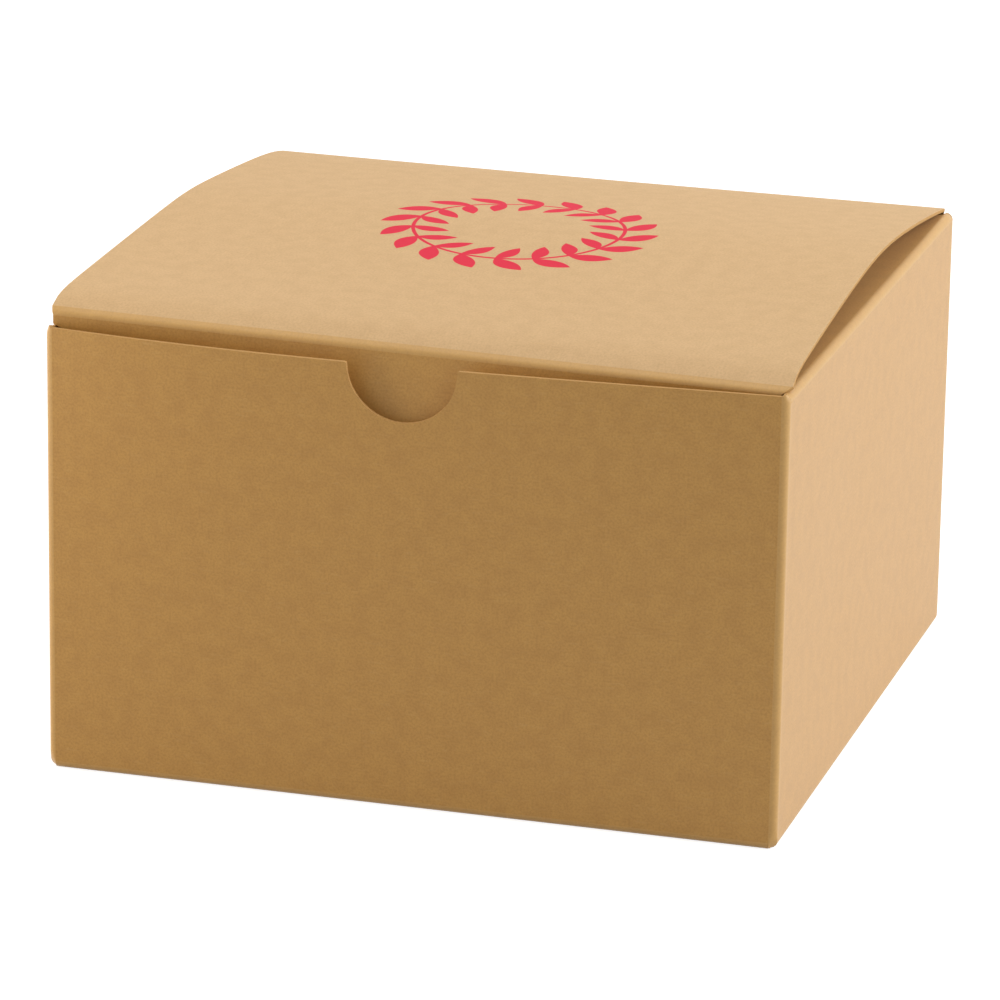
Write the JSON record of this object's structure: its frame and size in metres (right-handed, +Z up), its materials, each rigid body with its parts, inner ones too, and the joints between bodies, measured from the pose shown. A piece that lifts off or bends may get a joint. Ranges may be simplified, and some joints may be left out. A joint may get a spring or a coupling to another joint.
{
  "type": "gift box",
  "caption": "Square low folding carton of plain kraft board with a hinged tuck-in lid, a thumb notch in the front and a self-locking bottom.",
  "frame": {"origin": "middle of the base, on the surface that the box stands on, between the four wall panels", "axes": "+Z up, -Y towards the front panel with the thumb notch, +X to the right seen from the front"},
  "size_m": [0.1282, 0.1321, 0.0857],
  "materials": {
    "kraft_board": "uncoated brown kraft paperboard, matte, with fine darker fibres",
    "printed_kraft": "uncoated brown kraft paperboard with a small crimson print in flat ink",
    "dried_glue": "thin film of dried white packaging glue"
  },
  "bodies": {
    "carton": {"front_panel": "kraft_board", "back_panel": "kraft_board", "left_panel": "kraft_board", "right_panel": "kraft_board", "seam_flap": "kraft_board", "seam_glue": "dried_glue", "bottom_front_flap": "kraft_board", "bottom_front_tab": "kraft_board", "bottom_back_flap": "kraft_board", "bottom_back_tab": "kraft_board", "bottom_left_flap": "kraft_board", "bottom_right_flap": "kraft_board", "bottom_left_glue": "dried_glue", "bottom_right_glue": "dried_glue", "lid_crease": "kraft_board", "left_dust_crease": "kraft_board", "right_dust_crease": "kraft_board"},
    "lid": {"lid_panel": "printed_kraft", "tuck_crease": "kraft_board"},
    "tuck": {"tuck_flap": "kraft_board"},
    "left_dust": {"left_dust_flap": "kraft_board"},
    "right_dust": {"right_dust_flap": "kraft_board"}
  },
  "joints": [
    {"name": "lid_hinge", "type": "hinge", "parent": "carton", "child": "lid", "pos_m": [0, 0.06359, 0.07859], "axis": [-1, 0, 0], "range_deg": [0, 180], "deforming": ["lid_crease"]},
    {"name": "tuck_hinge", "type": "hinge", "parent": "lid", "child": "tuck", "pos_m": [0, -0.06169, 0.07954], "axis": [-0.9999, 0, 0.015], "range_deg": [0, 90], "deforming": ["tuck_crease"]},
    {"name": "left_dust_hinge", "type": "hinge", "parent": "carton", "child": "left_dust", "pos_m": [-0.06359, 0, 0.07779], "axis": [0, -1, 0], "range_deg": [0, 90], "deforming": ["left_dust_crease"]},
    {"name": "right_dust_hinge", "type": "hinge", "parent": "carton", "child": "right_dust", "pos_m": [0.06359, 0, 0.07779], "axis": [0, 1, 0], "range_deg": [0, 90], "deforming": ["right_dust_crease"]}
  ],
  "couplings": [
    {"joint": "tuck_hinge", "follows": "lid_hinge", "ratio": 0.5},
    {"joint": "left_dust_hinge", "follows": "lid_hinge", "ratio": 0.5},
    {"joint": "right_dust_hinge", "follows": "lid_hinge", "ratio": 0.5}
  ]
}
